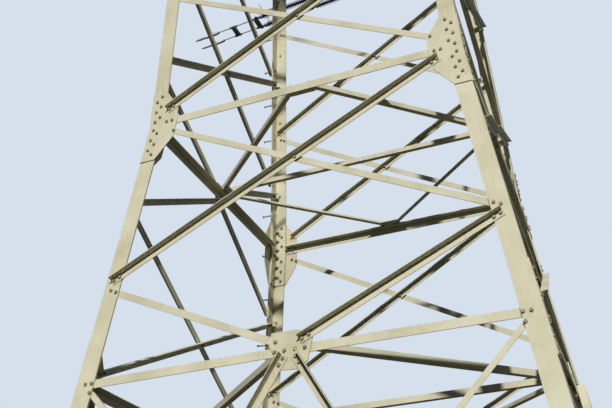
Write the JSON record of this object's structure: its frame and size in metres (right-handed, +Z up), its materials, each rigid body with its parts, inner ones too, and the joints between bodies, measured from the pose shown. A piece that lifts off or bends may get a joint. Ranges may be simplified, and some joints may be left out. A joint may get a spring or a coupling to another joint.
{
  "type": "lattice transmission pylon",
  "caption": "Square lattice steel tower with kinked legs, crossed angle bracing, tapering crossarms on two levels, a pointed earth-wire peak and tension insulator sets.",
  "frame": {"origin": "middle of the square base, at the underside of the four base plates", "axes": "+Z up; the crossarms reach out along -Y and +Y, the line runs along X, and the front of the picture is -Y"},
  "size_m": [11.6642, 24.14, 34.066],
  "materials": {
    "painted_steel": "pale cream-grey paint on galvanised angle, weathered, light rust at the joints",
    "insulator_set": "dark brown glazed long-rod insulators with galvanised fittings"
  },
  "bodies": {
    "root": {"belt_plan_bracing": "painted_steel", "earth_wire_peak": "painted_steel", "inner_insulators_back": "insulator_set", "inner_insulators_front": "insulator_set", "kink_joint_back_left": "painted_steel", "kink_joint_back_right": "painted_steel", "kink_joint_front_left": "painted_steel", "kink_joint_front_right": "painted_steel", "kink_plan_bracing": "painted_steel", "leg_lower_back_left": "painted_steel", "leg_lower_back_right": "painted_steel", "leg_lower_front_left": "painted_steel", "leg_lower_front_right": "painted_steel", "leg_upper_back_left": "painted_steel", "leg_upper_back_right": "painted_steel", "leg_upper_front_left": "painted_steel", "leg_upper_front_right": "painted_steel", "lower_arm_side_back_left": "painted_steel", "lower_arm_side_back_right": "painted_steel", "lower_arm_side_front_left": "painted_steel", "lower_arm_side_front_right": "painted_steel", "lower_arm_underside_back": "painted_steel", "lower_arm_underside_front": "painted_steel", "lower_face_back": "painted_steel", "lower_face_front": "painted_steel", "lower_face_left": "painted_steel", "lower_face_right": "painted_steel", "outer_insulators_back": "insulator_set", "outer_insulators_front": "insulator_set", "top_face_back": "painted_steel", "top_face_front": "painted_steel", "top_face_left": "painted_steel", "top_face_right": "painted_steel", "upper_arm_side_back_left": "painted_steel", "upper_arm_side_back_right": "painted_steel", "upper_arm_side_front_left": "painted_steel", "upper_arm_side_front_right": "painted_steel", "upper_arm_underside_back": "painted_steel", "upper_arm_underside_front": "painted_steel", "upper_face_back": "painted_steel", "upper_face_front": "painted_steel", "upper_face_left": "painted_steel", "upper_face_right": "painted_steel", "upper_insulators_back": "insulator_set", "upper_insulators_front": "insulator_set"}
  },
  "joints": []
}
